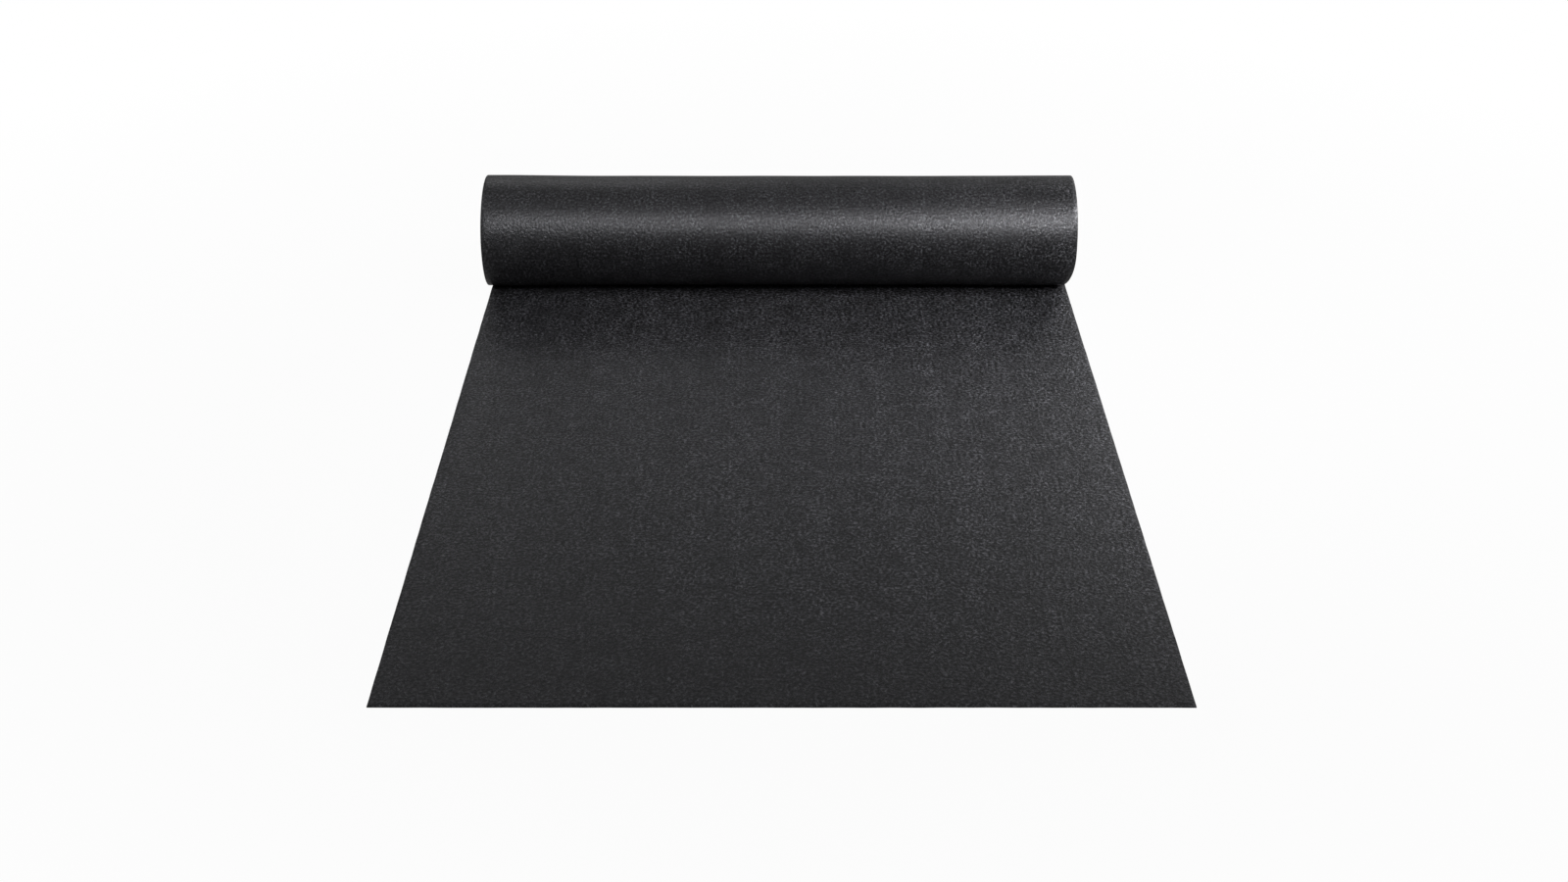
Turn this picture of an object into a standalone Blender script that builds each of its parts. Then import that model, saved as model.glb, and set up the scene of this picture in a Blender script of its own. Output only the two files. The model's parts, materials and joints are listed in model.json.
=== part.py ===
"""A roll of nonwoven geotextile, partly rolled out.

The web is one band of needle-punched felt. Its free stretch lies flat on the floor. From the nip, the
line where the roll stands, it climbs the back of the roll as a loose outer turn. The turns inside wind
in a spiral onto a paperboard core, where a strip of double-sided tape holds the web's inner end.

Frame: +X runs along the roll, +Y away from the free end, +Z up. The origin is on the floor, midway
between the free end and the back of the roll.
"""

import math

import bmesh
import bpy
from mathutils import Vector

MM = 0.001

# The web, and the stretch of it that lies rolled out.
WEB_THICKNESS = 2.15 * MM
LAID_WIDTH = 1000 * MM
LAID_LENGTH = 1250 * MM

# In the outer turn the web isn't pulled narrow, so each edge stands out past the laid stretch. On the
# right its edge is tucked in again, over the last way down to the nip.
EDGE_SPREAD = 4 * MM
EDGE_TUCK = 10.5 * MM
SPREAD_SHARE = 0.25
TUCK_SHARE = 0.23

# The turns inside the outer one, and how their edges drift to and fro. They are as wide as the outer
# turn on the left, and as the laid stretch on the right.
WOUND_TURNS = 21.7
TURN_GAP = 0.5 * MM
EDGE_WANDER = 1.5 * MM
WANDER_WAVES = 3.5

# The outer turn is slack, so the turns inside it can slip round.
SLIP_GAP = 0.4 * MM

# The paperboard core.
CORE_BORE = 50.8 * MM
CORE_WALL = 4.6 * MM
CORE_OVERHANG = 2 * MM
CORE_CHAMFER = 0.8 * MM

# The tape between the core and the web's inner end.
TAPE_THICKNESS = 0.3 * MM
TAPE_WIDTH = 50 * MM
TAPE_MARGIN = 20 * MM

# Pieces that rest on each other keep this clearance.
SEAT_GAP = 0.3 * MM

# Facets to a turn.
OUTER_FACETS = 72
WOUND_FACETS = 36
CORE_FACETS = 72

# Sizes that follow.
TURN_PITCH = WEB_THICKNESS + TURN_GAP
WOUND_WIDTH = LAID_WIDTH + EDGE_SPREAD
CORE_RADIUS = CORE_BORE / 2 + CORE_WALL
CORE_LENGTH = LAID_WIDTH + 2 * (EDGE_SPREAD + EDGE_WANDER + CORE_OVERHANG)
TAPE_RADIUS = CORE_RADIUS + SEAT_GAP
TAPE_LENGTH = WOUND_WIDTH - 2 * (EDGE_WANDER + TAPE_MARGIN)
INNER_END_RADIUS = TAPE_RADIUS + TAPE_THICKNESS + SEAT_GAP + WEB_THICKNESS
WOUND_RADIUS = INNER_END_RADIUS + WOUND_TURNS * TURN_PITCH
OUTER_END_RADIUS = (WOUND_RADIUS + SLIP_GAP) / math.cos(math.pi / OUTER_FACETS) + WEB_THICKNESS
ROLL_RADIUS = OUTER_END_RADIUS + TURN_PITCH


def outer_turn_radius(turn):
    """The radius of the outer turn's outside, from 0 at the nip to 1 back above it."""
    return ROLL_RADIUS - turn * TURN_PITCH


def wound_radius(turn):
    """The radius of the wound web's outside, so many turns in from its start above the nip."""
    return WOUND_RADIUS - turn * TURN_PITCH


AXIS_Y = (LAID_LENGTH - outer_turn_radius(0.25)) / 2
AXIS_Z = ROLL_RADIUS

WEB_COLOUR = (0.030, 0.030, 0.032)
BOARD_COLOUR = (0.36, 0.25, 0.15)
TAPE_COLOUR = (0.72, 0.68, 0.55)


def clear_scene():
    for thing in list(bpy.data.objects):
        bpy.data.objects.remove(thing)


def matte(name, colour, roughness):
    """A dull, non-metallic material."""
    material = bpy.data.materials.new(name)
    material.use_nodes = True
    shader = material.node_tree.nodes["Principled BSDF"]
    shader.inputs["Base Color"].default_value = (*colour, 1)
    shader.inputs["Roughness"].default_value = roughness
    shader.inputs["Metallic"].default_value = 0
    return material


def empty_at(name, place, parent=None):
    """An empty on a line of motion, which carries the pieces that move with it."""
    empty = bpy.data.objects.new(name, None)
    bpy.context.scene.collection.objects.link(empty)
    empty.parent = parent
    empty.location = place
    return empty


def piece(name, fill, material, parent=None, place=(0, 0, 0)):
    """One named object, whose mesh fill makes."""
    shape = bmesh.new()
    fill(shape)
    bmesh.ops.recalc_face_normals(shape, faces=shape.faces)
    mesh = bpy.data.meshes.new(name)
    shape.to_mesh(mesh)
    shape.free()
    mesh.materials.append(material)
    mesh.shade_smooth()
    mesh.set_sharp_from_angle(angle=math.radians(40))
    thing = bpy.data.objects.new(name, mesh)
    bpy.context.scene.collection.objects.link(thing)
    thing.parent = parent
    thing.location = place
    return thing


def on_roll(turn, radius, side):
    """A point of the roll, from its axis: turn 0 is straight down, and turns climb the back."""
    angle = 2 * math.pi * turn
    return Vector((side, radius * math.sin(angle), -radius * math.cos(angle)))


def band_section(turn, outside, thickness, left, right):
    """The four corners of a wound band at one station: its outside, then its inside."""
    return [
        on_roll(turn, outside, left),
        on_roll(turn, outside, right),
        on_roll(turn, outside - thickness, right),
        on_roll(turn, outside - thickness, left),
    ]


def loft(shape, sections):
    """Skins a row of sections from one to the next, and caps both ends."""
    rings = [[shape.verts.new(corner) for corner in section] for section in sections]
    for ring, following in zip(rings, rings[1:]):
        for i, corner in enumerate(ring):
            j = (i + 1) % len(ring)
            shape.faces.new((corner, ring[j], following[j], following[i]))
    shape.faces.new(rings[0])
    shape.faces.new(rings[-1])


def stations(first, last, facets):
    """Places along a wound band: its two ends, and each facet's corner in between."""
    count = math.ceil(last * facets) - math.floor(first * facets)
    corners = [(math.floor(first * facets) + i) / facets for i in range(1, count)]
    return [first, *corners, last]


def laid_web(shape):
    """The stretch on the floor, from the free end to the nip."""
    length = LAID_LENGTH - SEAT_GAP / 2
    bmesh.ops.create_cube(shape, size=1)
    bmesh.ops.scale(shape, vec=(LAID_WIDTH, length, WEB_THICKNESS), verts=shape.verts)
    middle = (0, length / 2 - LAID_LENGTH, WEB_THICKNESS / 2)
    bmesh.ops.translate(shape, vec=middle, verts=shape.verts)


def ease(share):
    """Goes softly from 0 to 1 as the share does."""
    return share * share * (3 - 2 * share)


def outer_turn_edges(turn):
    """The outer turn leaves the nip at the laid width and spreads as it climbs the back."""
    half = LAID_WIDTH / 2 + EDGE_SPREAD * min(turn / SPREAD_SHARE, 1)
    tuck = EDGE_TUCK * ease(max(1 - (1 - turn) / TUCK_SHARE, 0))
    return -half, half - tuck


def outer_turn(shape):
    """The turn that the web runs through between the floor and the turns inside."""
    seam = SEAT_GAP / 2 / (2 * math.pi * ROLL_RADIUS)
    sections = [
        band_section(turn, outer_turn_radius(turn), WEB_THICKNESS, *outer_turn_edges(turn))
        for turn in stations(seam, 1, OUTER_FACETS)
    ]
    loft(shape, sections)


def wound_edges(turn):
    """The wound web's edges, which drift to and fro together from turn to turn."""
    wander = EDGE_WANDER * math.sin(2 * math.pi * WANDER_WAVES * turn / WOUND_TURNS)
    middle = wander - EDGE_SPREAD / 2
    return middle - WOUND_WIDTH / 2, middle + WOUND_WIDTH / 2


def wound_web(shape):
    """The spiral, from under the outer turn down to the inner end on the core."""
    sections = [
        band_section(turn, wound_radius(turn), WEB_THICKNESS, *wound_edges(turn))
        for turn in stations(0, WOUND_TURNS, WOUND_FACETS)
    ]
    loft(shape, sections)


def core_tube(shape):
    """The core, turned from the outline of its wall, with its cut ends eased outside."""
    end = CORE_LENGTH / 2
    outline = [
        (-end, 0, CORE_BORE / 2),
        (end, 0, CORE_BORE / 2),
        (end, 0, CORE_RADIUS - CORE_CHAMFER),
        (end - CORE_CHAMFER, 0, CORE_RADIUS),
        (CORE_CHAMFER - end, 0, CORE_RADIUS),
        (-end, 0, CORE_RADIUS - CORE_CHAMFER),
    ]
    corners = [shape.verts.new(corner) for corner in outline]
    edges = [shape.edges.new((a, b)) for a, b in zip(corners, corners[1:] + corners[:1])]
    bmesh.ops.spin(
        shape,
        geom=corners + edges,
        cent=(0, 0, 0),
        axis=(1, 0, 0),
        angle=2 * math.pi,
        steps=CORE_FACETS,
        use_merge=True,
    )


def start_tape(shape):
    """The strip of tape on the core, under the web's inner end."""
    reach = TAPE_WIDTH / (2 * math.pi * TAPE_RADIUS)
    outside = TAPE_RADIUS + TAPE_THICKNESS
    edges = -TAPE_LENGTH / 2, TAPE_LENGTH / 2
    sections = [
        band_section(turn, outside, TAPE_THICKNESS, *edges)
        for turn in stations(WOUND_TURNS - reach, WOUND_TURNS, WOUND_FACETS)
    ]
    loft(shape, sections)


def distance_to_edge(point, start, end):
    """How far a point lies from the stretch between two others."""
    along = end - start
    share = (point - start).dot(along) / along.length_squared
    return (start + min(max(share, 0), 1) * along - point).length


def least_turn_gap():
    """The least distance between neighbouring turns of the wound web, across the roll."""
    places = stations(0, WOUND_TURNS, WOUND_FACETS)
    outside = [on_roll(turn, wound_radius(turn), 0) for turn in places]
    inside = [on_roll(turn, wound_radius(turn) - WEB_THICKNESS, 0) for turn in places]
    gaps = []
    for i, point in enumerate(inside[:-WOUND_FACETS]):
        facing = outside[i + WOUND_FACETS - 1 : i + WOUND_FACETS + 2]
        gaps += [distance_to_edge(point, *edge) for edge in zip(facing, facing[1:])]
    return min(gaps)


def web_length():
    """The whole web's length along its middle layer, rolled out and wound."""
    outer = ROLL_RADIUS + OUTER_END_RADIUS - WEB_THICKNESS
    wound = WOUND_RADIUS + INNER_END_RADIUS - WEB_THICKNESS
    return LAID_LENGTH + math.pi * (outer + WOUND_TURNS * wound)


def build():
    clear_scene()
    felt = matte("felt", WEB_COLOUR, 0.8)
    board = matte("paperboard", BOARD_COLOUR, 0.85)
    film = matte("tape_film", TAPE_COLOUR, 0.5)

    nip = empty_at("nip_line", (0, AXIS_Y, 0))
    axis = empty_at("roll_axis", (0, 0, AXIS_Z), parent=nip)

    piece("laid_web", laid_web, felt, place=(0, AXIS_Y, 0))
    piece("outer_turn", outer_turn, felt, parent=nip, place=(0, 0, AXIS_Z))
    piece("wound_web", wound_web, felt, parent=axis)
    piece("core_tube", core_tube, board, parent=axis)
    piece("start_tape", start_tape, film, parent=axis)

    print(f"web {web_length():.3f} m long, least gap between its turns {least_turn_gap() / MM:.3f} mm")
    print(f"roll radius {ROLL_RADIUS:.5f}, axis at y {AXIS_Y:.5f}; wound radius {WOUND_RADIUS:.5f}")


build()
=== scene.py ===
import json
import math
from collections import namedtuple

import bpy
import numpy as np
from mathutils import Euler, Matrix, Vector, noise


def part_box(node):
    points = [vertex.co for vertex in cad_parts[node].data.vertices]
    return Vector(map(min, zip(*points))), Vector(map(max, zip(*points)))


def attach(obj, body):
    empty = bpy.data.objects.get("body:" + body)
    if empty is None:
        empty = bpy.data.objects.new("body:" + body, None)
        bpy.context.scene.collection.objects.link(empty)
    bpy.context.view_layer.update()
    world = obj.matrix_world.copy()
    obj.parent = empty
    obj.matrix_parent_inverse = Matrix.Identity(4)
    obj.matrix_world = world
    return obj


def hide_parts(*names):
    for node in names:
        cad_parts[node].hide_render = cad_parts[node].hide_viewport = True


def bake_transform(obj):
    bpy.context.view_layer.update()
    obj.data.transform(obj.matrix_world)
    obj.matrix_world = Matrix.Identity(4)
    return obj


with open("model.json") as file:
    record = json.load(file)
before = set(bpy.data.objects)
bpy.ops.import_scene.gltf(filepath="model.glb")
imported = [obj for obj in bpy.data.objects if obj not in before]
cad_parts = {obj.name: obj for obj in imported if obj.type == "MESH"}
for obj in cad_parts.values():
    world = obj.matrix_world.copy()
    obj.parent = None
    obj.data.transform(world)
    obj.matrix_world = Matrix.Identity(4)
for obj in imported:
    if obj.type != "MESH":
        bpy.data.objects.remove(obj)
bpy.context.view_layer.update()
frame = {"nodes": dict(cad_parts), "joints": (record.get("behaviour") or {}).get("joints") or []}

# Lengths and places are in metres, in the frame's own axes: +X along the roll, +Y away from the free end.
MM = 0.001

# Sizes that the frame gives.
LAID_LOW, LAID_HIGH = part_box("laid_web")
LAID_WIDTH = LAID_HIGH.x - LAID_LOW.x
THICKNESS = LAID_HIGH.z
FRONT_Y = LAID_LOW.y
AXIS = Vector(next(j["pos_m"] for j in frame["joints"] if j["name"] == "roll_turn"))


def radii(name):
    """The least and greatest distance of a CAD node's corners from the roll's axis."""
    corners = frame["nodes"][name].data.vertices
    far = [math.hypot(corner.co.y - AXIS.y, corner.co.z - AXIS.z) for corner in corners]
    return min(far), max(far)


ROLL_RADIUS = AXIS.z
TURN_PITCH = 2 * (2 * ROLL_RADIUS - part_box("outer_turn")[1].z)
OUTER_HALF = -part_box("outer_turn")[0].x
WOUND_LOW, WOUND_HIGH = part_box("wound_web")
WOUND_INSIDE, WOUND_RADIUS = radii("wound_web")
WOUND_TURNS = (WOUND_RADIUS - THICKNESS - WOUND_INSIDE) / TURN_PITCH

# The photograph's camera, fitted to the outline of the roll and the laid web.
PHOTO_WIDTH_PX = 1600
FOCAL_PX = 2024.4
CAMERA_PLACE = (-0.0098, -2.6115, 1.4335)
CAMERA_PITCH = math.radians(28.808)
CAMERA_YAW = math.radians(0.344)
CAMERA_ROLL = math.radians(0.142)

# The world is white to the eye, dimmer in gloss, and dim as a light.
WORLD_SEEN = 1.0
WORLD_IN_GLOSS = 0.25
WORLD_LIGHT = 0.05

# The floor. It glows to the eye, near the object a little less, so that it keeps the shadow there.
FLOOR_COLOUR = (0.35, 0.35, 0.35, 1)
FLOOR_ROUGHNESS = 0.9
FLOOR_HALF = 15.0
FLOOR_TOP = -0.5 * MM
FLOOR_GLOW_NEAR = 0.965
FLOOR_GLOW_REACH = (0.8, 2.2)

# Softboxes: name, place, target, size, power, and the spread that a grid leaves, in degrees.
LAMPS = (
    ("key_right", (2.75, -2.17, 3.25), (0.1, 0.75, 0.1), (1.4, 0.8), 3.7, 40),
    ("key_right_end", (0.5, -3.31, 3.25), (0.74, 0.75, 0.1), (0.8, 0.8), 2.15, 24),
    ("key_right_tip", (0.9, -3.31, 3.25), (0.95, 0.75, 0.1), (0.5, 0.8), 1.75, 20),
    ("key_left_end", (-0.5, -3.31, 3.25), (-0.7, 0.75, 0.1), (0.8, 0.8), 1.85, 24),
    ("key_side", (2.2, -0.5, 1.9), (0.42, 0.2, 0), (1.0, 1.0), 4.4, 30),
    ("top_left", (-1.8, 0.0, 2.6), (-0.4, 0.2, 0), (0.8, 0.8), 6.0, 180),
    ("rear_high", (0.3, 1.9, 1.4), (0.05, 0.25, 0), (1.6, 0.4), 0.055, 60),
    ("rear_left", (-0.6, 1.9, 1.2), (-0.4, 0.25, 0), (0.8, 0.4), 0.15, 60),
    ("rear_right", (1.3, 1.6, 0.9), (0.5, 0.1, 0), (0.6, 0.4), 0.155, 40),
)

# The cut edges of the web: how far they are rounded, and where the rounding has its corners.
EDGE_ROUND = 0.7 * MM
CORNER_REACH = 0.75
CORNER_SHARE = 0.18

# The laid stretch: how its surface lifts, how its cut edges waver, and how far its front is out of square.
LIFT = 0.5 * MM
LIFT_SIZE = 0.21
LIFT_END = 0.12
LIFT_FADE = 0.25
WAVER = 0.35 * MM
WAVER_DEPTH = 12 * MM
SIDE_WAVER_SIZE = 0.035
END_WAVER_SIZE = 0.03
FRONT_SKEW = 0.95 * MM

# The outer turn: the share of a turn over which its edges spread, how its right edge is tucked in, the
# share of a turn over which it grows full, and its lumps.
LEFT_SPREAD_SHARE = 0.72
RIGHT_SPREAD_SHARE = 0.25
EDGE_TUCK = 14 * MM
TUCK_SHARE = 0.23
TUCK_START = 0.4
TUCK_WIDTH = 0.1
FULL_SHARE = 0.06
LUMP = 0.25 * MM
LUMP_SIZE = 0.07

# How much fuller the roll is towards its ends, from which place on and over what width.
LEFT_FLARE = 1.4 * MM
LEFT_FLARE_START = 0.28
LEFT_FLARE_WIDTH = 0.22
RIGHT_FLARE = 0.8 * MM
RIGHT_FLARE_START = 0.25
RIGHT_FLARE_WIDTH = 0.25
MIDDLE_SLACK = 0.4 * MM

# The wound turns: how their edges drift, and how the right edge of the first few is tucked in.
EDGE_WANDER = 1.5 * MM
WANDER_WAVES = 3.5
SLOW_DRIFT = 0.8 * MM
SLOW_DRIFT_RATE = 0.9
QUICK_DRIFT = 0.25 * MM
QUICK_DRIFT_RATE = 14
WOUND_TUCK = 5 * MM
WOUND_TUCK_TURNS = 3
RIPPLE = 0.10 * MM
RIPPLE_RATE = 6
RIPPLE_ACROSS = 3

# How fine the meshes are.
MESH_STEP = 8 * MM
LAID_STATIONS = 157
OUTER_STATIONS = 151
WOUND_STRIPS = 8
STATIONS_A_TURN = 96

# The felt's surface, as it lies and as it is rolled: its colour, how wide and high the strokes of fibre
# are, how many specks there are to a metre and how high, and how rough it is between and on the strokes.
# It is one felt. The laid stretch's colour is painted lighter and the rolled felt's painted darker, as
# painted light and shade.
Felt = namedtuple("Felt", "colour fibre_width fibre_relief speck_scale speck_relief roughness")
# Painted light and shade: the laid colour is lighter, and the rolled colour darker, than the one felt is.
LAID_FELT_PAINTED_LIGHTER = Felt((0.0145, 0.0145, 0.0161), 2.0 * MM, 0.35 * MM, 200.0, 1.25 * MM, (0.50, 0.20))
ROLLED_FELT_PAINTED_DARKER = Felt((0.0096, 0.0096, 0.0105), 1.5 * MM, 0.08 * MM, 230.0, 0.75 * MM, (0.45, 0.18))

# Strokes of fibre, in layers that each run their own way. The scatters are how far a layer's angle and
# length stray from even ones.
FIBRE_WAYS = 5
ANGLE_SCATTER = 0.35
LENGTH_SCATTER = 0.3
LAYER_SHIFT = 0.37
FIBRE_LENGTH = 7 * MM
FIBRE_EDGE = 0.55
FIBRE_BEND = 9 * MM
FIBRE_BEND_SCALE = 70.0
STROKE_RANGE = (0.2, 0.9)

# What the strokes, specks, clouds and bands multiply the felt's colour by, as their noise goes through its
# range.
FIBRE_SHADE = (0.05, 4.2)
SPECK_RANGE = (0.36, 0.72)
SPECK_SHADE = (0.0, 3.1)
SOFT_RANGE = (0.3, 0.7)
CLOUD_SHADE = (0.68, 1.32)
BAND_SHADE = (0.84, 1.16)

# Clouds and bands in the felt, the fine grain between them, and pale specks of lint.
CLOUD_SCALE = 30.0
CLOUD_RELIEF = 0.8 * MM
CLOUD_STRENGTH = 0.35
BAND_SCALE = (22.0, 1.6, 1.0)
GRAIN_SCALE = 650.0
GRAIN_SHARE = 0.6
LINT_SCALE = 11.0
LINT_SIZE = (0.008, 0.014)
LINT_SHADE = 9.0

# The gloss of the fibres.
SPECULAR = 0.5
GLOSS_TINT = (0.95, 0.95, 1.0, 1)
SHEEN = 0.01
SHEEN_ROUGHNESS = 0.4

# The core's board and the tape.
BOARD_DARK = (0.20, 0.135, 0.080, 1)
BOARD_LIGHT = (0.42, 0.31, 0.20, 1)
BOARD_ROUGHNESS = 0.85
BOARD_FINE_SCALE = 350.0
BOARD_BROAD_SCALE = 25.0
BOARD_BROAD_SHARE = 0.6
BOARD_RANGE = (0.5, 1.1)
BOARD_RELIEF = 0.3 * MM
BOARD_STRENGTH = 0.4
TAPE_DARK = (0.55, 0.50, 0.38, 1)
TAPE_LIGHT = (0.78, 0.74, 0.62, 1)
TAPE_ROUGHNESS = 0.4
TAPE_SCALE = 120.0


def smooth(value):
    """Eases from 0 to 1 as value does."""
    value = min(max(value, 0), 1)
    return value * value * (3 - 2 * value)


def noisy(x, y, seed):
    """Soft noise from -1 to 1, with waves of about one unit."""
    return noise.noise(Vector((x, y, seed)))


# Node helpers.


def node(tree, kind, inputs=(), **settings):
    """Adds a shader node. inputs maps a socket's name or number to a value or to another socket."""
    new = tree.nodes.new("ShaderNode" + kind)
    for name, value in settings.items():
        setattr(new, name, value)
    for name, value in dict(inputs).items():
        if isinstance(value, bpy.types.NodeSocket):
            tree.links.new(value, new.inputs[name])
        else:
            new.inputs[name].default_value = value
    return new


def maths(tree, operation, *values):
    """The result of a Math node."""
    return node(tree, "Math", dict(enumerate(values)), operation=operation).outputs[0]


def remap(tree, value, low, high, to_low=0.0, to_high=1.0):
    """Carries a value from one range to another, and holds it at the ends."""
    sockets = {"Value": value, "From Min": low, "From Max": high, "To Min": to_low, "To Max": to_high}
    return node(tree, "MapRange", sockets).outputs["Result"]


def object_place(tree):
    """The place of a point of the object, in metres."""
    return node(tree, "TexCoord").outputs["Object"]


def flat_noise(tree, place, scale, detail):
    """Noise that varies across and along the web only."""
    sockets = {"Vector": place, "Scale": scale, "Detail": detail}
    return node(tree, "TexNoise", sockets, noise_dimensions="2D").outputs


def solid_noise(tree, scale, detail):
    """Noise that runs through the object."""
    sockets = {"Vector": object_place(tree), "Scale": scale, "Detail": detail}
    return node(tree, "TexNoise", sockets).outputs["Fac"]


def bump(tree, height, distance, strength=1.0, normal=None):
    """The normal of a surface with bumps, over another normal where one is given."""
    sockets = {"Height": height, "Distance": distance, "Strength": strength}
    if normal:
        sockets["Normal"] = normal
    return node(tree, "Bump", sockets).outputs[0]


def material(name):
    """A new material, its tree and its Principled shader."""
    made = bpy.data.materials.new(name)
    made.use_nodes = True
    return made, made.node_tree, made.node_tree.nodes["Principled BSDF"]


# Materials.


def fibre_layer(tree, place, angle, length, width, shift):
    """Strokes of fibre that all run one way, bright along the middle of each."""
    turn = {"Vector": place, "Rotation": (0, 0, angle), "Location": (shift, shift / 2, 0)}
    turned = node(tree, "Mapping", turn).outputs[0]
    scaled = node(tree, "Mapping", {"Vector": turned, "Scale": (1 / length, 1 / width, 1)}).outputs[0]
    sockets = {"Vector": scaled, "Scale": 1.0, "Randomness": 1.0}
    cells = node(tree, "TexVoronoi", sockets, voronoi_dimensions="2D")
    brightness = node(tree, "SeparateColor", {"Color": cells.outputs["Color"]}).outputs[0]
    stroke = remap(tree, cells.outputs["Distance"], 0.0, FIBRE_EDGE, 1.0, 0.0)
    return maths(tree, "MULTIPLY", stroke, brightness)


def fibres(tree, place, width):
    """Strokes in every direction over each other, from 0 to about 1."""
    bend = flat_noise(tree, place, FIBRE_BEND_SCALE, 1.0)["Color"]
    centred = node(tree, "VectorMath", {0: bend, 1: (0.5, 0.5, 0.5)}, operation="SUBTRACT").outputs[0]
    shift = node(tree, "VectorMath", {0: centred, "Scale": FIBRE_BEND}, operation="SCALE").outputs[0]
    bent = node(tree, "VectorMath", {0: place, 1: shift}).outputs[0]
    total = None
    for i in range(FIBRE_WAYS):
        angle = math.pi * (i + ANGLE_SCATTER * math.sin(5.1 * i)) / FIBRE_WAYS
        length = FIBRE_LENGTH * (1 + LENGTH_SCATTER * math.cos(2.3 * i))
        layer = fibre_layer(tree, bent, angle, length, width, LAYER_SHIFT * i)
        total = layer if total is None else maths(tree, "MAXIMUM", total, layer)
    return total


def lint(tree, place):
    """A few pale specks caught in the felt."""
    cells = node(tree, "TexVoronoi", {"Vector": place, "Scale": LINT_SCALE}, voronoi_dimensions="2D")
    return remap(tree, cells.outputs["Distance"], *LINT_SIZE, LINT_SHADE, 0.0)


def felt(name, flat):
    """Black needle-punched felt, lit mostly by the gloss of its fibres."""
    made, tree, shader = material(name)
    # The laid stretch gets a colour painted lighter, as painted light, and the rolled felt one painted
    # darker, as painted shade.
    look = LAID_FELT_PAINTED_LIGHTER if flat else ROLLED_FELT_PAINTED_DARKER
    place = object_place(tree) if flat else node(tree, "UVMap", uv_map="web").outputs["UV"]
    strokes = fibres(tree, place, look.fibre_width)
    clouds = flat_noise(tree, place, CLOUD_SCALE, 4.0)["Fac"]
    bands_at = node(tree, "Mapping", {"Vector": place, "Scale": BAND_SCALE}).outputs[0]
    bands = flat_noise(tree, bands_at, 1.0, 2.0)["Fac"]
    grain = flat_noise(tree, place, GRAIN_SCALE, 2.0)["Fac"]
    specks = flat_noise(tree, place, look.speck_scale, 2.0)["Fac"]

    light = remap(tree, strokes, *STROKE_RANGE, *FIBRE_SHADE)
    cloudy = remap(tree, clouds, *SOFT_RANGE, *CLOUD_SHADE)
    banded = remap(tree, bands, *SOFT_RANGE, *BAND_SHADE)
    speckled = remap(tree, specks, *SPECK_RANGE, *SPECK_SHADE)
    shade = maths(tree, "MULTIPLY", maths(tree, "MULTIPLY", light, cloudy), banded)
    shade = maths(tree, "MULTIPLY", shade, speckled)
    shade = maths(tree, "ADD", shade, lint(tree, place))
    # This colour carries painted light on the laid stretch and painted shade on the roll.
    colour = node(tree, "VectorMath", {0: look.colour, "Scale": shade}, operation="SCALE").outputs[0]
    tree.links.new(colour, shader.inputs["Base Color"])

    rough = remap(tree, strokes, *STROKE_RANGE, *look.roughness)
    tree.links.new(rough, shader.inputs["Roughness"])
    shader.inputs["Specular IOR Level"].default_value = SPECULAR
    shader.inputs["Specular Tint"].default_value = GLOSS_TINT
    shader.inputs["Sheen Weight"].default_value = SHEEN
    shader.inputs["Sheen Roughness"].default_value = SHEEN_ROUGHNESS

    uneven = bump(tree, clouds, CLOUD_RELIEF, CLOUD_STRENGTH)
    speckly = bump(tree, specks, look.speck_relief, normal=uneven)
    height = maths(tree, "MULTIPLY_ADD", grain, GRAIN_SHARE, strokes)
    fibrous = bump(tree, height, look.fibre_relief, normal=speckly)
    tree.links.new(fibrous, shader.inputs["Normal"])
    return made


def mottled(tree, shader, share, dark, light):
    """Gives a shader a colour that goes from dark to light as a socket goes from 0 to 1."""
    ramp = node(tree, "ValToRGB", {"Fac": share})
    ramp.color_ramp.elements[0].color = dark
    ramp.color_ramp.elements[1].color = light
    tree.links.new(ramp.outputs["Color"], shader.inputs["Base Color"])


def paperboard():
    """Mottled grey-brown board."""
    made, tree, shader = material("paperboard")
    fine = solid_noise(tree, BOARD_FINE_SCALE, 5.0)
    broad = solid_noise(tree, BOARD_BROAD_SCALE, 2.0)
    mixed = maths(tree, "MULTIPLY_ADD", broad, BOARD_BROAD_SHARE, fine)
    mottled(tree, shader, remap(tree, mixed, *BOARD_RANGE), BOARD_DARK, BOARD_LIGHT)
    shader.inputs["Roughness"].default_value = BOARD_ROUGHNESS
    tree.links.new(bump(tree, fine, BOARD_RELIEF, BOARD_STRENGTH), shader.inputs["Normal"])
    return made


def tape_film():
    """Yellowish film, a little mottled."""
    made, tree, shader = material("tape_film")
    mottled(tree, shader, solid_noise(tree, TAPE_SCALE, 3.0), TAPE_DARK, TAPE_LIGHT)
    shader.inputs["Roughness"].default_value = TAPE_ROUGHNESS
    return made


# Meshes of felt.


def cross_section(xs):
    """A closed loop of (x, height) round the web's section, its cut edges rounded.

    It runs along the top, down the right edge, back along the bottom and up the left edge.
    """
    corner = EDGE_ROUND * CORNER_REACH
    inner = THICKNESS * CORNER_SHARE
    reaches = (corner, EDGE_ROUND, corner)
    heights = (THICKNESS - inner, THICKNESS / 2, inner)
    top = [(x, THICKNESS) for x in xs]
    bottom = [(x, 0.0) for x in reversed(xs)]
    right_edge = [(xs[-1] + reach, height) for reach, height in zip(reaches, heights)]
    left_edge = [(xs[0] - reach, height) for reach, height in zip(reaches, reversed(heights))]
    return top + right_edge + bottom + left_edge


def across(half, step):
    """Places across the web, evenly apart, inside its rounded edges."""
    edge = half - EDGE_ROUND
    count = max(2, round(2 * edge / step) + 1)
    return [float(x) for x in np.linspace(-edge, edge, count)]


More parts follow.
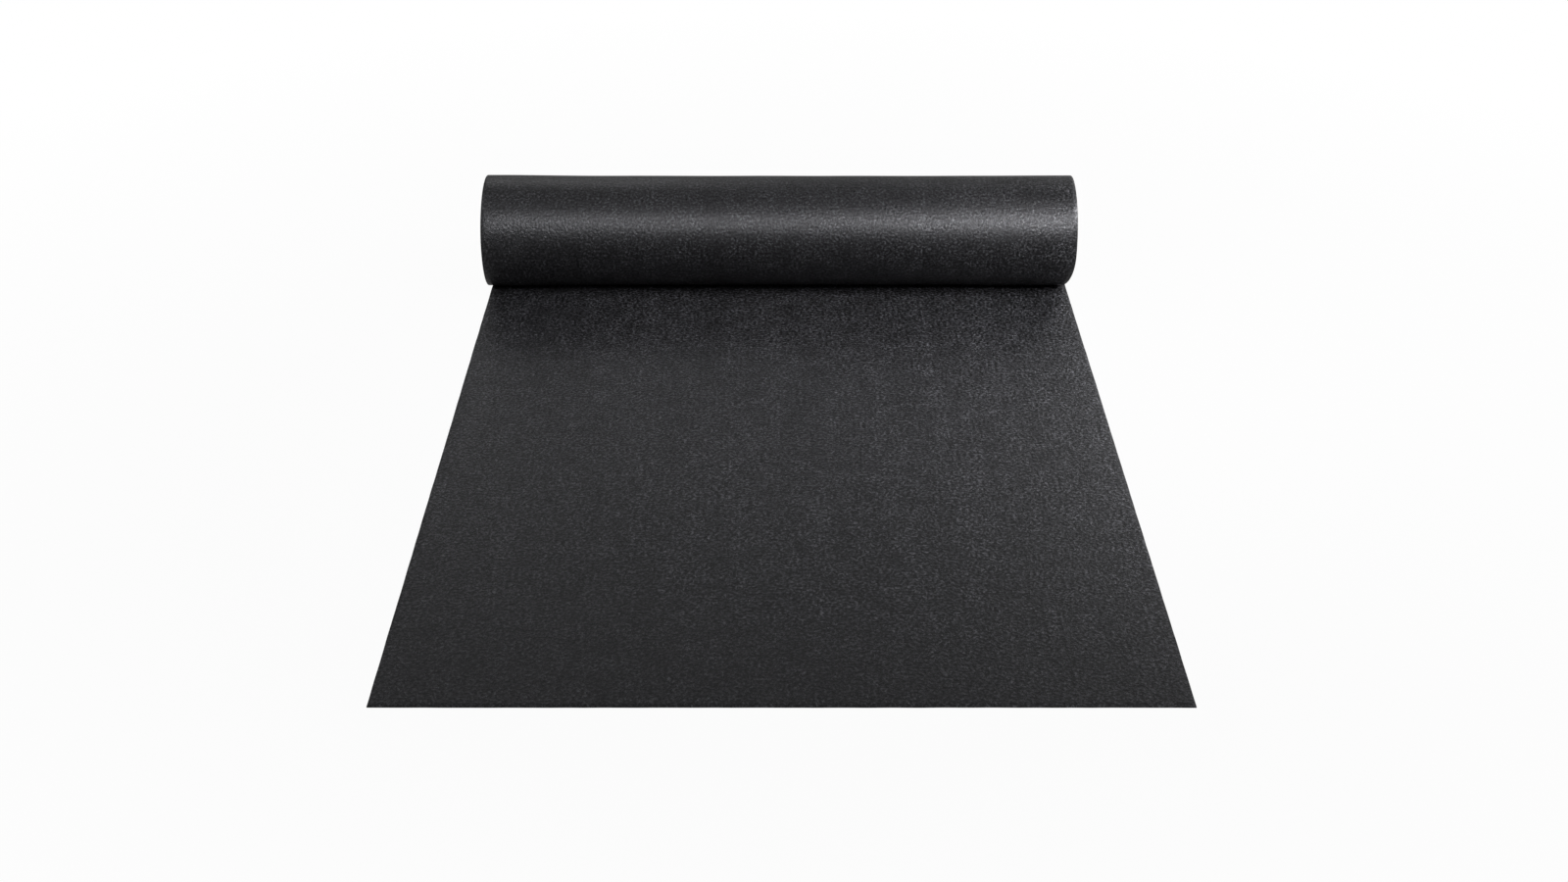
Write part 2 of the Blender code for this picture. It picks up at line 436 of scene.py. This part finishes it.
def end_cap(base, count):
    """Faces that close one end of a band, whose section starts at corner base with count corners on top.

    They are strips from top to bottom, and a face at each rounded edge, of its three corners and the
    ends of top and bottom.
    """
    below_first = 2 * count + 2
    caps = []
    for i in range(count - 1):
        below = base + below_first - i
        caps.append((below, below - 1, base + i + 1, base + i))
    right = range(count - 1, count + 4)
    left = (*range(below_first, below_first + 4), 0)
    caps += [tuple(base + i for i in reversed(edge)) for edge in (right, left)]
    return caps


def felt_mesh(name, xs, stations, place, surface):
    """A thick band of felt. place turns x, height and station into a point of it.

    Its UV map holds x + height and the station, so the texture follows the band.
    """
    section = cross_section(xs)
    size = len(section)
    verts = [place(x, height, along) for along in stations for x, height in section]
    webs = [(x + height, along) for along in stations for x, height in section]
    faces = []
    for i in range(len(stations) - 1):
        for j in range(size):
            k = (j + 1) % size
            faces.append((i * size + j, i * size + k, (i + 1) * size + k, (i + 1) * size + j))
    faces += end_cap(0, len(xs))
    faces += [face[::-1] for face in end_cap((len(stations) - 1) * size, len(xs))]
    mesh = bpy.data.meshes.new(name)
    mesh.from_pydata(verts, [], faces)
    layer = mesh.uv_layers.new(name="web")
    corners = np.array([loop.vertex_index for loop in mesh.loops])
    layer.data.foreach_set("uv", np.array(webs, np.float32)[corners].ravel())
    mesh.materials.append(surface)
    mesh.shade_smooth()
    thing = bpy.data.objects.new(name, mesh)
    bpy.context.scene.collection.objects.link(thing)
    return thing


def cone(x):
    """How much fatter the roll is at that place: fullest at its left end, slackest in the middle."""
    left = smooth((-LEFT_FLARE_START - x) / LEFT_FLARE_WIDTH)
    right = smooth((x - RIGHT_FLARE_START) / RIGHT_FLARE_WIDTH)
    return LEFT_FLARE * left + RIGHT_FLARE * right - MIDDLE_SLACK


def laid_place(x, height, along):
    """On the floor, with faint waves that die out under the roll."""
    y = FRONT_Y + along
    free = smooth((AXIS.y - LIFT_END - y) / LIFT_FADE)
    lift = LIFT * (1 + noisy(x / LIFT_SIZE, y / LIFT_SIZE, 3.1)) * free
    hand = math.copysign(1, x)
    edge = smooth((abs(x) - LAID_WIDTH / 2 + WAVER_DEPTH) / WAVER_DEPTH)
    side = hand * edge * WAVER * noisy(0, y / SIDE_WAVER_SIZE, 8.4 + hand)
    end = smooth(1 - along / WAVER_DEPTH) * WAVER * noisy(x / END_WAVER_SIZE, 0, 5.7)
    skew = FRONT_SKEW * (y - AXIS.y) / (AXIS.y - FRONT_Y) * x / (LAID_WIDTH / 2)
    return (x + side, y + end + skew, height + lift)


def laid_felt():
    """The stretch on the floor, from the free end to the line under the roll."""
    length = AXIS.y - FRONT_Y
    stations = [float(s) for s in np.linspace(0, length, LAID_STATIONS)]
    xs = across(LAID_WIDTH / 2, MESH_STEP)
    piece = felt_mesh("laid_felt", xs, stations, laid_place, felt("felt_laid", True))
    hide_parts("laid_web")
    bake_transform(piece)


def on_roll(x, radius, turn):
    """A point of the roll: turn 0 is straight down, and turns climb the back."""
    angle = 2 * math.pi * turn
    return (x, AXIS.y + radius * math.sin(angle), AXIS.z - radius * math.cos(angle))


def outer_place(x, height, along):
    """Round the roll. height 0 is the inner face; the last stretch on the right is tucked in."""
    turn = along / (2 * math.pi * ROLL_RADIUS)
    spread_share = RIGHT_SPREAD_SHARE if x > 0 else LEFT_SPREAD_SHARE
    spread = (OUTER_HALF - LAID_WIDTH / 2) * min(turn / spread_share, 1)
    tuck = EDGE_TUCK * smooth(1 - (1 - turn) / TUCK_SHARE) * smooth((x - TUCK_START) / TUCK_WIDTH)
    free = min(turn / FULL_SHARE, 1)
    lumps = LUMP * noisy(x / LUMP_SIZE, along / LUMP_SIZE, 1.7) * free
    outer = ROLL_RADIUS - turn * TURN_PITCH + cone(x) * free
    radius = outer - THICKNESS + height * (1 + lumps / THICKNESS)
    return on_roll(x + x / (LAID_WIDTH / 2) * spread - tuck, radius, turn)


def outer_felt():
    """The turn that runs from the floor up the back, over the top and down to the nip."""
    length = 2 * math.pi * ROLL_RADIUS
    stations = [float(s) for s in np.linspace(0, length, OUTER_STATIONS)]
    xs = across(LAID_WIDTH / 2, MESH_STEP)
    piece = felt_mesh("outer_felt", xs, stations, outer_place, felt("felt_outer", False))
    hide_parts("outer_turn")
    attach(piece, "nip")


def wound_place(x, height, turn):
    """In the spiral, each turn a little out of line with the next."""
    drift = EDGE_WANDER * math.sin(2 * math.pi * WANDER_WAVES * turn / WOUND_TURNS)
    drift += (WOUND_LOW.x + WOUND_HIGH.x) / 2
    drift -= WOUND_TUCK * smooth(1 - turn / WOUND_TUCK_TURNS) if x > 0 else 0
    drift += SLOW_DRIFT * noisy(turn * SLOW_DRIFT_RATE, 0, 4.2)
    drift += QUICK_DRIFT * noisy(turn * QUICK_DRIFT_RATE, 0, 9.2)
    radius = WOUND_RADIUS - turn * TURN_PITCH - THICKNESS + height
    fuller = cone(x) * radius / ROLL_RADIUS
    ripple = RIPPLE * noisy(turn * RIPPLE_RATE, x * RIPPLE_ACROSS, 2.2)
    return on_roll(x + drift, radius + fuller + ripple, turn)


def wound_felt():
    """The spiral inside, down to the core."""
    count = round(WOUND_TURNS * STATIONS_A_TURN)
    stations = [float(t) for t in np.linspace(0, WOUND_TURNS, count)]
    half = (WOUND_HIGH.x - WOUND_LOW.x) / 2 - EDGE_WANDER
    xs = across(half, 2 * half / WOUND_STRIPS)
    piece = felt_mesh("wound_felt", xs, stations, wound_place, felt("felt_wound", False))
    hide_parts("wound_web")
    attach(piece, "roll")


# The studio.


def background_strength(tree, light):
    """White to the eye and through something clear, dimmer in gloss, and as strong as light otherwise."""
    path = node(tree, "LightPath").outputs
    seen = maths(tree, "MAXIMUM", path["Is Camera Ray"], path["Is Transmission Ray"])
    plain = remap(tree, path["Is Glossy Ray"], 0.0, 1.0, light, WORLD_IN_GLOSS)
    return node(tree, "Mix", {0: seen, 2: plain, 3: WORLD_SEEN}, data_type="FLOAT").outputs[0]


def stage():
    """A white floor that keeps a soft shadow."""
    made, tree, shader = material("floor_white")
    shader.inputs["Base Color"].default_value = FLOOR_COLOUR
    shader.inputs["Roughness"].default_value = FLOOR_ROUGHNESS
    glow = node(tree, "Emission", {"Color": (1, 1, 1, 1), "Strength": background_strength(tree, 0.0)})
    path = node(tree, "LightPath").outputs
    rays = maths(tree, "MAXIMUM", path["Is Camera Ray"], path["Is Glossy Ray"])
    rays = maths(tree, "MAXIMUM", rays, path["Is Transmission Ray"])
    away = node(tree, "VectorMath", {0: object_place(tree)}, operation="LENGTH").outputs["Value"]
    glowing = remap(tree, away, *FLOOR_GLOW_REACH, FLOOR_GLOW_NEAR, 1.0)
    share = maths(tree, "MULTIPLY", rays, glowing)
    mix = node(tree, "MixShader", {0: share, 1: shader.outputs[0], 2: glow.outputs[0]})
    tree.links.new(mix.outputs[0], tree.nodes["Material Output"].inputs["Surface"])

    signs = ((-1, -1), (1, -1), (1, 1), (-1, 1))
    corners = [(x * FLOOR_HALF, y * FLOOR_HALF, FLOOR_TOP) for x, y in signs]
    mesh = bpy.data.meshes.new("floor")
    mesh.from_pydata(corners, [], [(0, 1, 2, 3)])
    mesh.materials.append(made)
    floor = bpy.data.objects.new("floor", mesh)
    bpy.context.scene.collection.objects.link(floor)


def lamp(name, place, target, size, power, spread):
    """A rectangular softbox that faces its target, its spread narrowed by a grid, in degrees."""
    light = bpy.data.lights.new(name, "AREA")
    light.shape = "RECTANGLE"
    light.size, light.size_y = size
    light.energy = power
    light.spread = math.radians(spread)
    thing = bpy.data.objects.new(name, light)
    thing.location = place
    thing.visible_camera = False
    thing.rotation_euler = (Vector(target) - Vector(place)).to_track_quat("-Z", "Y").to_euler()
    bpy.context.scene.collection.objects.link(thing)


def lighting():
    """The world and the softboxes."""
    world = bpy.data.worlds.new("studio")
    bpy.context.scene.world = world
    world.use_nodes = True
    tree = world.node_tree
    strength = background_strength(tree, WORLD_LIGHT)
    tree.links.new(strength, tree.nodes["Background"].inputs["Strength"])
    tree.nodes["Background"].inputs["Color"].default_value = (1, 1, 1, 1)
    for lamp_data in LAMPS:
        lamp(*lamp_data)


def photo_camera():
    """The photograph's view."""
    camera = bpy.data.cameras.new("photo_camera")
    camera.sensor_fit = "HORIZONTAL"
    camera.lens = FOCAL_PX / PHOTO_WIDTH_PX * camera.sensor_width
    thing = bpy.data.objects.new("photo_camera", camera)
    bpy.context.scene.collection.objects.link(thing)
    turn = Euler((math.pi / 2 - CAMERA_PITCH, 0, -CAMERA_YAW)).to_matrix()
    turn = turn @ Matrix.Rotation(CAMERA_ROLL, 3, "Z")
    thing.matrix_world = Matrix.Translation(CAMERA_PLACE) @ turn.to_4x4()
    bpy.context.scene.camera = thing


def repaint(name, surface):
    """Gives a CAD node that stays in view its finish."""
    for place in frame["nodes"][name].material_slots:
        place.material = surface


def main():
    """Builds the whole scene."""
    bpy.context.scene.view_settings.view_transform = "Standard"
    photo_camera()
    stage()
    lighting()
    laid_felt()
    outer_felt()
    wound_felt()
    repaint("core_tube", paperboard())
    repaint("start_tape", tape_film())


main()
